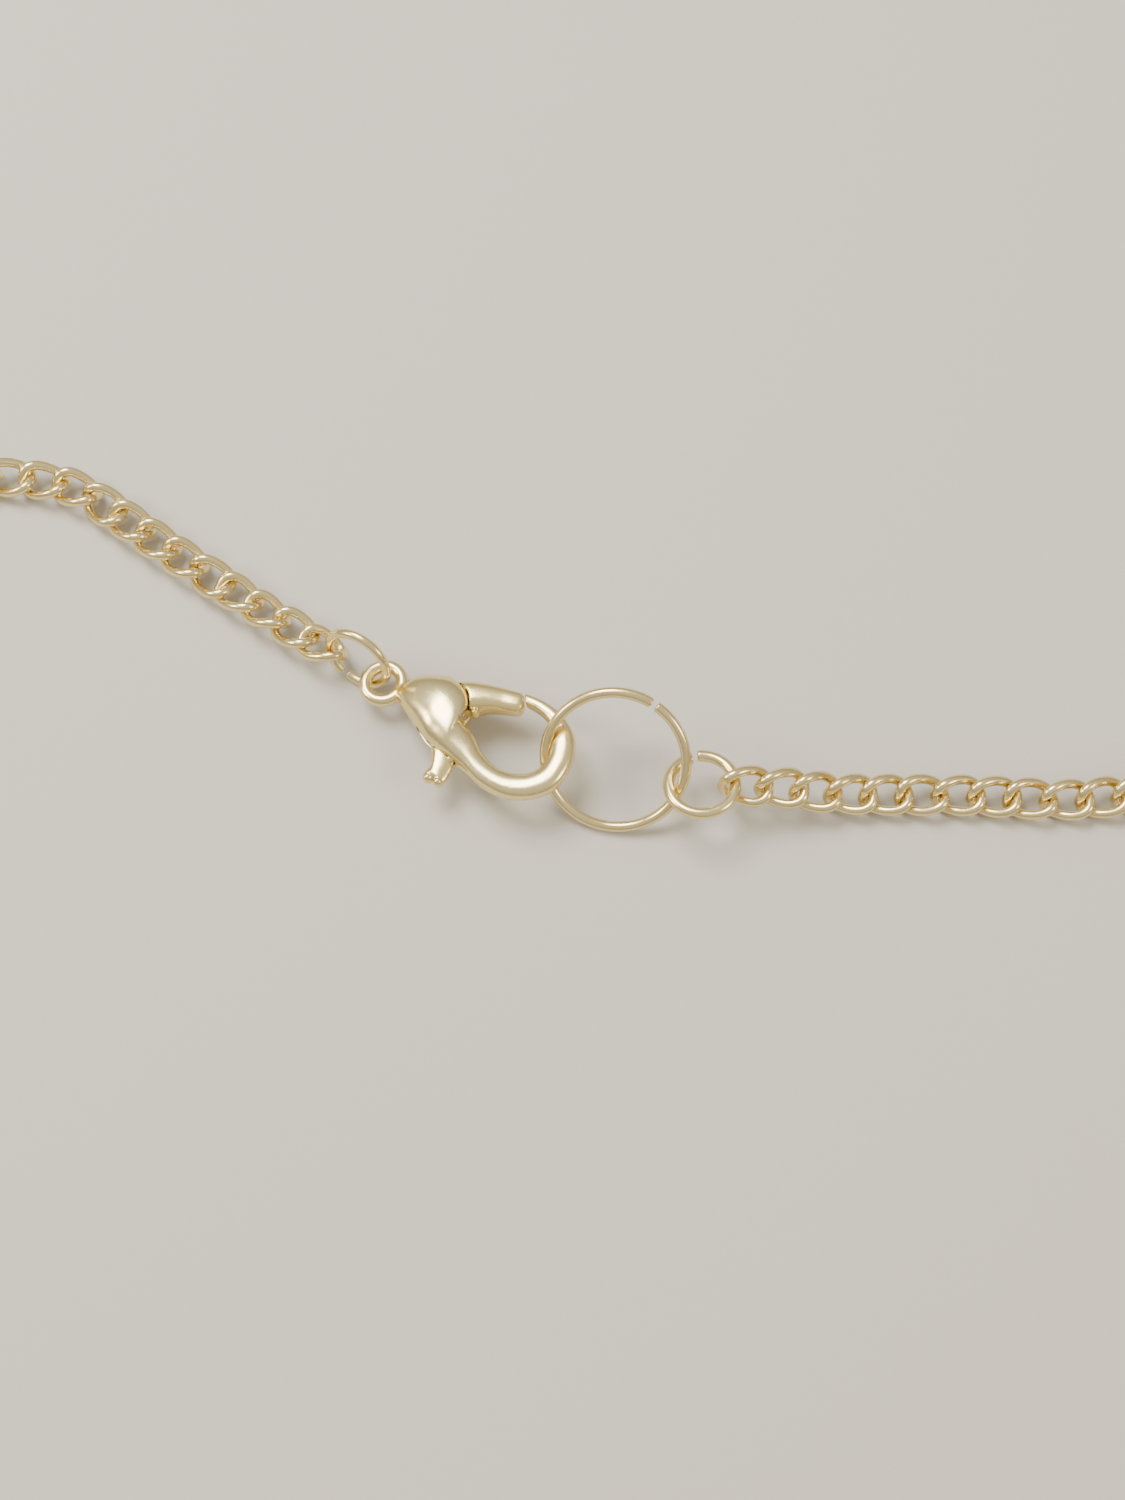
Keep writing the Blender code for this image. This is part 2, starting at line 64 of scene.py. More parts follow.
EIGHT_PLACE = np.array([0.0, 142.0, 0.65])
eight_low, eight_high = (np.array(corner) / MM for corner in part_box("infinity_link"))
PLAN_TO_FRAME = np.array([
    (eight_low[0] + eight_high[0]) / 2 - EIGHT_PLACE[0],
    (eight_low[1] + eight_high[1]) / 2 - EIGHT_PLACE[1],
    eight_low[2] - EIGHT_PLACE[2],
])

# Curb chain
LINK_LENGTH = 2.9
LINK_WIDTH = 2.2
LINK_WIRE = 0.52
LINK_SQUARENESS = 2.8
LINK_TWIST = math.radians(42)
LINKS_SHOWN = 16
LINKS_TO_SETTLE = 5
# Points along a link and round its wire
NEAR_LINK_POINTS = (56, 16)
FAR_LINK_POINTS = (16, 6)
# Rolls about the chain's line in degrees, and each near link's own difference from them
RIGHT_ROLL = 28.0
LEFT_ROLL = -8.0
RIGHT_LOOSENESS = [0, 3, -4, 4, -3, -10, 5, 2, -10, 4, -2, 3, -5, 2, 0, -3]
LEFT_LOOSENESS = [0, -12, 9, 8, -14, 9, 10, 7, -14, 10, 4, -6, 7, 2, -8, 4]
FAR_LOOSENESS = 5
PITCH = LINK_LENGTH - 2 * LINK_WIRE

# Clasp, in millimetres from the middle of its eye along its length and across it
CLASP_REACH = 11.15
CLASP_WIDTH = 5.47
HUMP_THICKNESS = 2.6
EYE_OUTER = 2.66
EYE_STOCK = 0.68
PIVOT = np.array([0.33 * CLASP_REACH, 0.065 * CLASP_WIDTH, 0.0])
PIN_DIAMETER = 0.6
RUNNING_GAP = 0.1
SEAM_GAP = 0.07
# How full the sections are: 2 is an oval
HUMP_FULLNESS = 2.4
GATE_FULLNESS = 2.6
TAB_FULLNESS = 2.0

# The lever's root and the room for it, as arcs about the pin, in millimetres and degrees
PLATE_THICKNESS = 0.6
PLATE_RADIUS = 0.95
PLATE_ARC = (75, 200)
ROOT_SPREAD = 1.75
ROOT_ARC = (18, 66)
SEAM_RADIUS = 1.25
GATE_ROOM_RADIUS = 2.47
GATE_ROOM_ARC = (-21, 99)
SLOT_RADIUS = 2.08
SLOT_ARC = (-8, 105)
# The slot's two straight sides along the clasp, and how far below the pin they start and end
SLOT_SIDES = (3.02, 5.77)
SLOT_TOP = 2.1
SLOT_DEPTH = 3.95

# Grain of a casting's skin in millimetres, and how many passes soften it
CLASP_SKIN = (0.04, 8)
LEVER_SKIN = (0.035, 7)
EIGHT_SKIN = (0.075, 4)

# The tab stands out of the slot below its neck and ends in two lobes, and a small bead sits at the
# gate's heel. Their places are shares of reach and width, the bead's with its height in millimetres.
TAB_HALF_THICKNESS = 0.38
TAB_NECK = -0.42
TAB_LOBES = ((0.441, -0.640), (0.493, -0.632))
TAB_LOBE_RADII = (0.29, 0.27, 0.36)
HEEL_PLACE = (0.475, 0.120, 0.25)
HEEL_RADII = (0.25, 0.26, 0.42)

# The place of the eye's middle on the plan, and the clasp's turn and lift in degrees
CLASP_PLACE = np.array([-9.34, 3.62, 1.25])
CLASP_TURN = -30.0
CLASP_LIFT = 7.3

RINGS = {
    # name: outer diameter, wire, middle, tilt about X, turn about Z, angle of the cut, ends apart
    "ring_large": (7.8, 0.55, (2.68, -1.14, 2.60), 39.8, -12.3, 67.0, 0.07),
    "ring_small": (4.0, 0.60, (7.09, -2.36, 2.32), 12.6, 191.6, 269.0, 0.05),
    "ring_clasp": (4.0, 0.50, (-10.68, 4.72, 1.90), 106.9, 149.7, 292.0, 0.04),
}
FRONT_RING = (4.7, 0.55, (10.30, 0.0, 2.30), 100.9, -0.1, 60.0, 0.03)
RING_CUT = 0.25

# First links: middle, turn, lift and roll in degrees
RIGHT_FIRST_LINK = ((9.33, -2.35, 2.17), -4.4, -6.2, 41.6)
LEFT_FIRST_LINK = ((-12.62, 5.74, 1.17), 155.0, 0.2, 20.9)
FRONT_LINK = ((12.51, 0.0, 1.15), 0.1, -0.1, 12.5)

# Routes of the chains over the plan, from their first links to the front
RIGHT_ROUTE = [
    (11.2, -2.4, 2.0), (13.3, -2.45, 1.45), (15.4, -2.45, 1.05), (17.5, -2.4, 0.85), (21.4, -2.45, 0.82),
    (24.1, -2.6, 0.82), (28.1, -2.5, 0.82), (36.0, -1.0, 0.82), (48.0, 6.0, 0.82), (58.0, 20.0, 0.82),
    (64.0, 40.0, 0.82), (66.0, 64.0, 0.82), (62.0, 90.0, 0.82), (52.0, 114.0, 0.82), (37.0, 131.0, 0.82),
    (22.0, 139.5, 0.82),
]
LEFT_ROUTE = [
    (-14.4, 6.9, 1.0), (-17.8, 9.2, 0.85), (-21.0, 11.4, 0.82), (-24.2, 13.7, 0.82), (-26.6, 15.2, 0.82),
    (-29.6, 15.8, 0.82), (-38.0, 16.5, 0.82), (-49.0, 21.0, 0.82), (-58.0, 32.0, 0.82), (-64.0, 48.0, 0.82),
    (-66.0, 68.0, 0.82), (-62.0, 92.0, 0.82), (-52.0, 114.0, 0.82), (-37.0, 131.0, 0.82),
    (-22.0, 139.5, 0.82),
]

# Sections from the eye round to the hook's tip, and from the gate's root to its end. Places are
# shares of reach and width, and the half thickness is a share of the hump's thickness.
CLASP_SECTIONS = [
    # outer along, outer across, inner along, inner across, half thickness
    (0.090, -0.070, 0.088, 0.070, 0.130),
    (0.142, -0.141, 0.127, 0.188, 0.29),
    (0.226, -0.226, 0.202, 0.285, 0.42),
    (0.316, -0.324, 0.299, 0.338, 0.50),
    (0.370, -0.360, 0.398, 0.278, 0.495),
    (0.428, -0.382, 0.442, 0.150, 0.465),
    (0.478, -0.395, 0.442, 0.016, 0.41),
    (0.554, -0.425, 0.538, -0.094, 0.335),
    (0.670, -0.486, 0.622, -0.211, 0.27),
    (0.806, -0.478, 0.731, -0.260, 0.225),
    (0.920, -0.361, 0.830, -0.188, 0.205),
    (0.991, -0.168, 0.877, -0.066, 0.20),
    (1.000, 0.066, 0.879, 0.056, 0.20),
    (0.972, 0.262, 0.863, 0.162, 0.19),
    (0.915, 0.405, 0.836, 0.284, 0.18),
    (0.830, 0.500, 0.788, 0.372, 0.17),
    (0.755, 0.534, 0.735, 0.406, 0.16),
    (0.690, 0.540, 0.697, 0.416, 0.15),
    (0.624, 0.525, 0.663, 0.418, 0.13),
]
GATE_SECTIONS = [
    # upper along, upper across, lower along, lower across, half thickness
    (0.325, 0.315, 0.428, 0.085, 0.35),
    (0.368, 0.378, 0.482, 0.148, 0.33),
    (0.440, 0.430, 0.528, 0.210, 0.29),
    (0.525, 0.475, 0.580, 0.255, 0.24),
    (0.590, 0.504, 0.632, 0.290, 0.21),
    (0.617, 0.508, 0.657, 0.325, 0.185),
    (0.630, 0.488, 0.662, 0.388, 0.12),
]
# Shares of reach and width
TAB_OUTLINE = [
    (0.28, -0.06), (0.362, -0.34), (0.405, -0.46), (0.420, -0.54), (0.412, -0.61), (0.418, -0.665),
    (0.440, -0.690), (0.462, -0.672), (0.485, -0.680), (0.508, -0.665), (0.522, -0.61), (0.522, -0.52),
    (0.512, -0.40), (0.46, -0.24), (0.42, -0.03),
]


# Surfaces

def grid_faces(rows, columns, rows_closed):
    """Corner numbers of every cell of a grid whose columns run round a section."""
    i = np.arange(rows if rows_closed else rows - 1)[:, None]
    j = np.arange(columns)[None, :]
    next_i = (i + 1) % rows
    next_j = (j + 1) % columns
    corners = (i * columns + j, i * columns + next_j, next_i * columns + next_j, next_i * columns + j)
    return np.stack([np.broadcast_to(corner, (i.size, j.size)) for corner in corners], -1).reshape(-1, 4)


def pole_faces(first, columns, pole, at_start):
    """Triangles from one row of a section to the point that closes it."""
    here = first + np.arange(columns)
    after = first + (np.arange(columns) + 1) % columns
    tip = np.full(columns, pole)
    order = (tip, after, here) if at_start else (tip, here, after)
    return np.stack(order, -1)


def mesh_from(name, points, quads, triangles=None):
    """A mesh of points in millimetres on the plan, with its quads and its closing triangles."""
    faces = quads.tolist()
    if triangles is not None:
        faces += triangles.tolist()
    mesh = bpy.data.meshes.new(name)
    mesh.from_pydata(points.reshape(-1, 3).tolist(), [], faces)
    mesh.update()
    mesh.shade_smooth()
    return mesh


def swept(rows, rows_closed):
    """Points, quads and closing triangles of a tube given as rows of section points."""
    count, columns, _ = rows.shape
    quads = grid_faces(count, columns, rows_closed)
    points = rows.reshape(-1, 3)
    if rows_closed:
        return points, quads, None
    points = np.vstack([points, rows[0].mean(0), rows[-1].mean(0)])
    start = pole_faces(0, columns, count * columns, True)
    end = pole_faces((count - 1) * columns, columns, count * columns + 1, False)
    return points, quads, np.vstack([start, end])


def unit(vectors):
    """Vectors made one long."""
    return vectors / np.linalg.norm(vectors, axis=-1, keepdims=True)


def wire_rows(line, radii, sides, closed):
    """Round sections square to a line: centre + radius * (outward cos a + upward sin a)."""
    if closed:
        along = unit(np.roll(line, -1, 0) - np.roll(line, 1, 0))
    else:
        along = unit(np.gradient(line, axis=0))
    outward = line - line.mean(0)
    outward = unit(outward - along * (outward * along).sum(-1, keepdims=True))
    upward = np.cross(along, outward)
    a = np.linspace(0, 2 * np.pi, sides, endpoint=False)[None, :, None]
    ring = outward[:, None] * np.cos(a) + upward[:, None] * np.sin(a)
    return line[:, None] + ring * np.reshape(radii, (-1, 1, 1))


def even(line, count, closed=False):
    """Points at even distances along a line."""
    path = np.vstack([line, line[:1]]) if closed else line
    run = np.concatenate([[0], np.cumsum(np.linalg.norm(np.diff(path, axis=0), axis=1))])
    at = np.linspace(0, run[-1], count, endpoint=not closed)
    return np.stack([np.interp(at, run, path[:, k]) for k in range(path.shape[1])], -1)


def smooth_rows(table, steps):
    """Catmull-Rom curve through rows of numbers, with this many steps between two rows."""
    rows = np.asarray(table, float)
    rows = np.vstack([2 * rows[0] - rows[1], rows, 2 * rows[-1] - rows[-2]])
    t = (np.arange(steps) / steps)[None, :, None]
    before, start, end, after = (rows[k:len(rows) - 3 + k, None] for k in range(4))
    curve = 0.5 * (
        2 * start + (end - before) * t + (2 * before - 5 * start + 4 * end - after) * t ** 2
        + (3 * start - before - 3 * end + after) * t ** 3)
    return np.vstack([curve.reshape(-1, rows.shape[1]), rows[-2]])


def turned(points, tilt=0.0, lift=0.0, turn=0.0):
    """Points rolled or tilted about X, lifted about -Y, then turned about Z, in degrees."""
    cx, sx = math.cos(math.radians(tilt)), math.sin(math.radians(tilt))
    cy, sy = math.cos(math.radians(-lift)), math.sin(math.radians(-lift))
    cz, sz = math.cos(math.radians(turn)), math.sin(math.radians(turn))
    about_x = np.array([[1, 0, 0], [0, cx, -sx], [0, sx, cx]])
    about_y = np.array([[cy, 0, sy], [0, 1, 0], [-sy, 0, cy]])
    about_z = np.array([[cz, -sz, 0], [sz, cz, 0], [0, 0, 1]])
    return points @ (about_z @ about_y @ about_x).T


def finish_piece(mesh, name, body, material, replaced):
    """Bring a mesh from the plan into the frame and make it a piece that rides on a body."""
    count = len(mesh.vertices)
    points = np.empty(count * 3, np.float32)
    mesh.vertices.foreach_get("co", points)
    points = (points.reshape(-1, 3) + PLAN_TO_FRAME) * MM
    mesh.vertices.foreach_set("co", points.astype(np.float32).ravel())
    mesh.update()
    mesh.shade_smooth()
    mesh.materials.clear()
    mesh.materials.append(material)
    piece = bpy.data.objects.new(name, mesh)
    bpy.context.scene.collection.objects.link(piece)
    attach(piece, body)
    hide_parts(*replaced)
    return piece


# Chain

def link_line(stations):
    """Middle line of one link: x = a cos, w = b sin, both squared off, and the flat loop's points
    (x, w) leaned about X by an angle that runs from +twist at one end to -twist at the other."""
    t = np.linspace(0, 2 * np.pi, 1440, endpoint=False) + 0.001
    power = 2 / LINK_SQUARENESS
    x = (LINK_LENGTH - LINK_WIRE) / 2 * np.sign(np.cos(t)) * np.abs(np.cos(t)) ** power
    w = (LINK_WIDTH - LINK_WIRE) / 2 * np.sign(np.sin(t)) * np.abs(np.sin(t)) ** power
    lean = -LINK_TWIST * x / ((LINK_LENGTH - LINK_WIRE) / 2)
    return even(np.stack([x, w * np.cos(lean), w * np.sin(lean)], -1), stations, closed=True)


def link_rows(stations, sides):
    """One link's surface about its own middle."""
    return wire_rows(link_line(stations), np.full(stations, LINK_WIRE / 2), sides, closed=True)


def frames_along(directions, rolls):
    """Turning matrices that lay X along each direction, level, then rolled about it."""
    x = unit(directions)
    y = unit(np.stack([-x[:, 1], x[:, 0], np.zeros(len(x))], -1))
    z = np.cross(x, y)
    c, s = np.cos(rolls)[:, None], np.sin(rolls)[:, None]
    return np.stack([x, y * c + z * s, z * c - y * s], -1)


def many_links(name, centres, turns, stations, sides):
    """All the links of a stretch as one mesh: the link's surface, turned and moved by arrays."""
    rows = link_rows(stations, sides)
    points = np.einsum("nij,usj->nusi", turns, rows) + centres[:, None, None]
    one = grid_faces(stations, sides, True)
    quads = (one[None] + (np.arange(len(centres)) * stations * sides)[:, None, None]).reshape(-1, 4)
    return mesh_from(name, points, quads)


def chain_places(first_link, route, roll, looseness, side):
    """Middles and turning matrices of a chain's links, from its first link to its last. Each link
    hangs a few degrees off the next, as loose links do."""
    front_middle = turned(np.array(FRONT_LINK[0]), turn=0.0 if side > 0 else 180.0)
    line = smooth_rows([first_link[0]] + route + [tuple(front_middle + EIGHT_PLACE * (1, 1, 0))], 24)
    run = np.concatenate([[0], np.cumsum(np.linalg.norm(np.diff(line, axis=0), axis=1))])
    shown = np.arange(LINKS_SHOWN) * PITCH
    count = math.ceil((run[-1] - shown[-1]) / PITCH)
    beyond = np.linspace(shown[-1], run[-1], count + 1)[1:-1]
    at = np.concatenate([shown, beyond])
    centres = np.stack([np.interp(at, run, line[:, k]) for k in range(3)], -1)
    ahead = np.stack([np.interp(at + PITCH / 2, run, line[:, k]) for k in range(3)], -1)
    behind = np.stack([np.interp(at - PITCH / 2, run, line[:, k]) for k in range(3)], -1)
    directions = ahead - behind
    number = np.arange(len(at))
    settle = np.clip(number / LINKS_TO_SETTLE, 0, 1)
    front = np.clip((number - len(at) + LINKS_TO_SETTLE) / LINKS_TO_SETTLE, 0, 1)
    rolls = first_link[3] * (1 - settle) + roll * settle
    rolls[:LINKS_SHOWN] += looseness
    rolls[LINKS_SHOWN:] += FAR_LOOSENESS * np.sin(1.7 * number[LINKS_SHOWN:])
    rolls = rolls * (1 - front) - FRONT_LINK[3] * front
    _, turn, lift, _ = first_link
    directions[0] = turned(np.array([1.0, 0, 0]), 0, lift, turn)
    return centres, frames_along(directions, np.radians(rolls))


def make_chain(side_name, side, first_link, route, roll, looseness, material):
    """A chain as two pieces: the links nearest the clasp, finely, and the long rest of it."""
    centres, turns = chain_places(first_link, route, roll, looseness, side)
    near = many_links("chain_near", centres[:LINKS_SHOWN], turns[:LINKS_SHOWN], *NEAR_LINK_POINTS)
    finish_piece(near, side_name + "_chain_near", "necklace", material,
                 ["chain_" + side_name + "_links"])
    far = many_links("chain_far", centres[LINKS_SHOWN:], turns[LINKS_SHOWN:], *FAR_LINK_POINTS)
    finish_piece(far, side_name + "_chain_far", "necklace", material, ["chain_" + side_name])


def make_front_link(side_name, half_turn, material):
    """The last link of a chain, which the front ring holds."""
    middle, turn, lift, roll = FRONT_LINK
    rows = turned(link_rows(*NEAR_LINK_POINTS), roll, lift, turn) + middle
    rows = turned(rows, turn=half_turn) + EIGHT_PLACE * (1, 1, 0)
    finish_piece(mesh_from("front_link", *swept(rows, True)), "front_link_" + side_name, "necklace",
                 material, ["link_front_" + side_name])


# Rings

def ring_rows(outer, wire, cut_at, apart, stations=150, sides=20):
    """An open ring of round wire: the circle's radius and height drift a little from one cut end
    to the other, and the last of the wire rounds off to a small flat."""
    radius = (outer - wire) / 2
    edge = 0.16 * wire
    half_cut = RING_CUT / 2 / radius
    lead = edge / radius
    angle = np.linspace(half_cut, 2 * np.pi - half_cut, stations)
    first, last = angle[0], angle[-1]
    rounding = np.linspace(0, 1, 6)[:-1]
    angle = np.concatenate([first + lead * rounding, angle[(angle > first + lead) & (angle < last - lead)],
                            last - lead * rounding[::-1]])
    from_end = np.minimum(angle - first, last - angle) * radius
    short = np.clip(1 - from_end / edge, 0, 1)
    radii = wire / 2 - edge * (1 - np.sqrt(1 - short ** 2))
    drift = (angle - np.pi) / np.pi
    reach = radius + 0.3 * apart * drift ** 3
    turn = angle + math.radians(cut_at)
    line = np.stack([reach * np.cos(turn), reach * np.sin(turn), apart * drift ** 3], -1)
    along = unit(np.gradient(line, axis=0))
    outward = unit(line * (1, 1, 0))
    outward = unit(outward - along * (outward * along).sum(-1, keepdims=True))
    upward = np.cross(along, outward)
    a = np.linspace(0, 2 * np.pi, sides, endpoint=False)[None, :, None]
    ring = outward[:, None] * np.cos(a) + upward[:, None] * np.sin(a)
    return line[:, None] + ring * radii[:, None, None]


def make_ring(name, size, material, place=(0.0, 0.0, 0.0), half_turn=0.0):
    """A jump ring in its place."""
    outer, wire, middle, tilt, turn, cut_at, apart = size
    rows = turned(ring_rows(outer, wire, cut_at, apart), tilt, 0.0, turn) + middle
    rows = turned(rows, turn=half_turn) + place
    finish_piece(mesh_from(name, *swept(rows, False)), name + "_wire", "necklace",
                 material, [name])


# Castings

def oval_rows(table, steps, sides, fullness):
    """Sections between an outer and an inner edge: middle + half cos a + thick sin a, with the
    sine and cosine raised to 2 / fullness, which is 2 for an oval and more for a fuller one."""
    rows = smooth_rows(table, steps)
    zero = np.zeros(len(rows))
    outer = np.stack([rows[:, 0] * CLASP_REACH, rows[:, 1] * CLASP_WIDTH, zero], -1)
    inner = np.stack([rows[:, 2] * CLASP_REACH, rows[:, 3] * CLASP_WIDTH, zero], -1)
    thick = np.stack([zero, zero, rows[:, 4] * HUMP_THICKNESS], -1)
    a = np.linspace(0, 2 * np.pi, sides, endpoint=False)[None, :, None] + 0.001
    across = np.sign(np.cos(a)) * np.abs(np.cos(a)) ** (2 / fullness)
    above = np.sign(np.sin(a)) * np.abs(np.sin(a)) ** (2 / fullness)
    middle, half = (outer + inner) / 2, (inner - outer) / 2
    return middle[:, None] + half[:, None] * across + thick[:, None] * above


def arc(centre, radius, first, last, steps):
    """Points of an arc in the clasp's middle plane, angles in degrees."""
    a = np.radians(np.linspace(first, last, steps + 1))
    return np.stack([centre[0] + radius * np.cos(a), centre[1] + radius * np.sin(a)], -1)


def plate_rows(outline, thickness):
    """The rim of a plate as two rows, its lower and its upper outline."""
    flat = np.column_stack([outline, np.zeros(len(outline))])
    return np.stack([flat + (0, 0, -thickness / 2), flat + (0, 0, thickness / 2)])


def plate_form(name, outline, thickness):
    """A working form: a flat plate of this outline."""
    rows = plate_rows(np.asarray(outline), thickness)
    count = rows.shape[1]
    mesh = bpy.data.meshes.new(name)
    rim = grid_faces(2, count, False).tolist()
    caps = [list(range(count))[::-1], list(range(count, 2 * count))]
    mesh.from_pydata(rows.reshape(-1, 3).tolist(), [], rim + caps)
    return form(name, mesh)


def form(name, mesh):
    """A working form, recalculated so that its faces point outwards."""
    shape = bmesh.new()
    shape.from_mesh(mesh)
    bmesh.ops.recalc_face_normals(shape, faces=shape.faces)
    shape.to_mesh(mesh)
    shape.free()
    obj = bpy.data.objects.new(name, mesh)
    bpy.context.scene.collection.objects.link(obj)
    return obj


def swept_form(name, rows, closed=False):
    """A working form swept from rows of section points."""
    return form(name, mesh_from(name, *swept(rows, closed)))


def cast(base, work, grain, softening):
    """Join and cut the working forms in the order given, skin them evenly at a fine grain and
    soften the edges, as tumbling does to a casting. The forms are removed."""
    for other, operation in work:
        boolean = base.modifiers.new(other.name, "BOOLEAN")
        boolean.operation = operation
        boolean.object = other
        boolean.solver = "EXACT"
    skin = base.modifiers.new("skin", "REMESH")
    skin.mode = "VOXEL"
    skin.voxel_size = grain
    skin.use_smooth_shade = True
    soften = base.modifiers.new("soften", "SMOOTH")
    soften.factor = 0.5
    soften.iterations = softening
    bpy.context.view_layer.update()
    graph = bpy.context.evaluated_depsgraph_get()
    mesh = bpy.data.meshes.new_from_object(base.evaluated_get(graph))
    for old in [base] + [other for other, _ in work]:
        bpy.data.objects.remove(old, do_unlink=True)
    return mesh


def onto_plan(mesh, lift, turn, place):
    """Move a casting's mesh from its own axes onto the plan."""
    points = np.empty(len(mesh.vertices) * 3, np.float32)
    mesh.vertices.foreach_get("co", points)
    points = turned(points.reshape(-1, 3).astype(float), 0.0, lift, turn) + place
    mesh.vertices.foreach_set("co", points.astype(np.float32).ravel())
    mesh.update()
    return mesh


def tab_points():
    """The thumb tab's outline in millimetres."""
    return np.array(TAB_OUTLINE) * (CLASP_REACH, CLASP_WIDTH)


def pillow_rows(outline, inner_line, half_height, fullness):
    """A cushioned plate: the outline drawn in towards its middle line by (1 - |v|^n)^(1/n) while
    its height goes from -half to +half with v, so that its rim and its faces run round."""
    v = np.sin(np.radians(np.linspace(-86, 86, 23)))[:, None, None]
    shrink = (1 - np.abs(v) ** fullness) ** (1 / fullness)
    flat = inner_line + (outline - inner_line) * shrink
    return np.concatenate([flat, np.broadcast_to(v * half_height, flat.shape[:2] + (1,))], -1)


def tab_form():
    """The part of the tab that stands out of the slot, cushioned and with two lobes at its end."""
    points = smooth_rows(tab_points()[1:-1], 5)
    points[:, 1] = np.maximum(points[:, 1], TAB_LOBES[0][1] * CLASP_WIDTH)
    middle_x = (points[0, 0] + points[-1, 0]) / 2
    low = points[:, 1].min()
    share = np.clip((points[:, 1] - low) / (points[0, 1] - low), 0.22, 0.85)
    centre_x = middle_x + (1 - share) * (np.mean(TAB_LOBES, 0)[0] * CLASP_REACH - middle_x)
    inner = np.column_stack([centre_x, low + share * (points[0, 1] - low)])
    rows = pillow_rows(points, inner, TAB_HALF_THICKNESS, TAB_FULLNESS)
    return swept_form("tab_form", rows[:, ::-1])


def ball_form(name, centre, radii):
    """A small egg: centre + radii times (cos u cos v, sin u cos v, sin v)."""
    u = np.linspace(0, 2 * np.pi, 24, endpoint=False)[None, :]
    v = np.radians(np.linspace(-85, 85, 13))[:, None]
    unit_rows = np.stack([np.cos(u) * np.cos(v), np.sin(u) * np.cos(v), np.sin(v) + 0 * u], -1)
    return swept_form(name, centre + unit_rows * radii)


def slot_outline():
    """Plan of the slot for the lever's root and its tab, open only where they pass."""
    left, right = SLOT_SIDES
    lower = [(left, PIVOT[1] - SLOT_TOP), (left, PIVOT[1] - SLOT_DEPTH),
             (right, PIVOT[1] - SLOT_DEPTH), (right, PIVOT[1] - SLOT_TOP)]
    return np.vstack([arc(PIVOT, SLOT_RADIUS, *SLOT_ARC, 28),
                      arc(PIVOT, PLATE_RADIUS + RUNNING_GAP, 115, 200, 16), lower,
                      arc(PIVOT, SEAM_RADIUS + RUNNING_GAP / 2, -30, -9, 6)])


def make_clasp_body(material):
    """Eye, hump and hook in one casting, slotted for the lever, with its pin."""
    body = swept_form("clasp_form", oval_rows(CLASP_SECTIONS, 10, 56, HUMP_FULLNESS))
    radius = (EYE_OUTER - EYE_STOCK) / 2
    circle = np.column_stack([arc((0, 0), radius, 0, 360, 72)[:-1], np.zeros(72)])
    eye = swept_form("eye_form", wire_rows(circle, np.full(72, EYE_STOCK / 2), 24, True), True)
    pin = plate_form("pin_form", arc(PIVOT, PIN_DIAMETER / 2, 0, 360, 32)[:-1], HUMP_THICKNESS * 0.6)
    slot = plate_form("slot_form", slot_outline(), PLATE_THICKNESS + 2 * RUNNING_GAP)
    low, high = GATE_ROOM_ARC
    room = np.vstack([arc(PIVOT, SEAM_RADIUS, low, high, 32), arc(PIVOT, GATE_ROOM_RADIUS, high, low, 32)])
    gate_room = plate_form("gate_room_form", room, HUMP_THICKNESS * 1.5)
    work = [(eye, "UNION"), (slot, "DIFFERENCE"), (gate_room, "DIFFERENCE"), (pin, "UNION")]
    mesh = cast(body, work, *CLASP_SKIN)
    finish_piece(onto_plan(mesh, CLASP_LIFT, CLASP_TURN, CLASP_PLACE), "clasp_casting", "necklace",
                 material, ["clasp_body"])


def make_clasp_lever(material):
    """Gate, root and thumb tab in one casting, bored for the pin."""
    gate = swept_form("gate_form", oval_rows(GATE_SECTIONS, 10, 44, GATE_FULLNESS))
    seam_side = arc(PIVOT, SEAM_RADIUS + SEAM_GAP, 0, 360, 96)[:-1]
    seam = plate_form("seam_form", seam_side, HUMP_THICKNESS * 1.5)
    tab = tab_points()
    in_slot = tab[tab[:, 1] > TAB_NECK * CLASP_WIDTH]
    outline = np.vstack([arc(PIVOT, ROOT_SPREAD, *ROOT_ARC, 20),
                         arc(PIVOT, PLATE_RADIUS, *PLATE_ARC, 24), in_slot,
                         arc(PIVOT, SEAM_RADIUS - RUNNING_GAP, -10, 6, 4)])
    root = plate_form("root_form", outline, PLATE_THICKNESS)
    bore = plate_form("bore_form", arc(PIVOT, PIN_DIAMETER / 2 + RUNNING_GAP, 0, 360, 32)[:-1],
                      PLATE_THICKNESS * 2)
    heel = ball_form("heel_form", np.array(HEEL_PLACE) * (CLASP_REACH, CLASP_WIDTH, 1), np.array(HEEL_RADII))
    lobes = [ball_form("lobe_form", np.array(place + (0.0,)) * (CLASP_REACH, CLASP_WIDTH, 1),
                       np.array(TAB_LOBE_RADII)) for place in TAB_LOBES]
    joined = [(part, "UNION") for part in [root, tab_form(), heel] + lobes]
    mesh = cast(gate, [(seam, "DIFFERENCE")] + joined + [(bore, "DIFFERENCE")], *LEVER_SKIN)
    finish_piece(onto_plan(mesh, CLASP_LIFT, CLASP_TURN, CLASP_PLACE), "lever_casting", "lever",
                 material, ["clasp_lever"])


# Figure-eight link

EIGHT_LENGTH = 22.0
EIGHT_HEIGHT = 8.0
EIGHT_BAND = 1.5
EIGHT_THICKNESS = 1.1


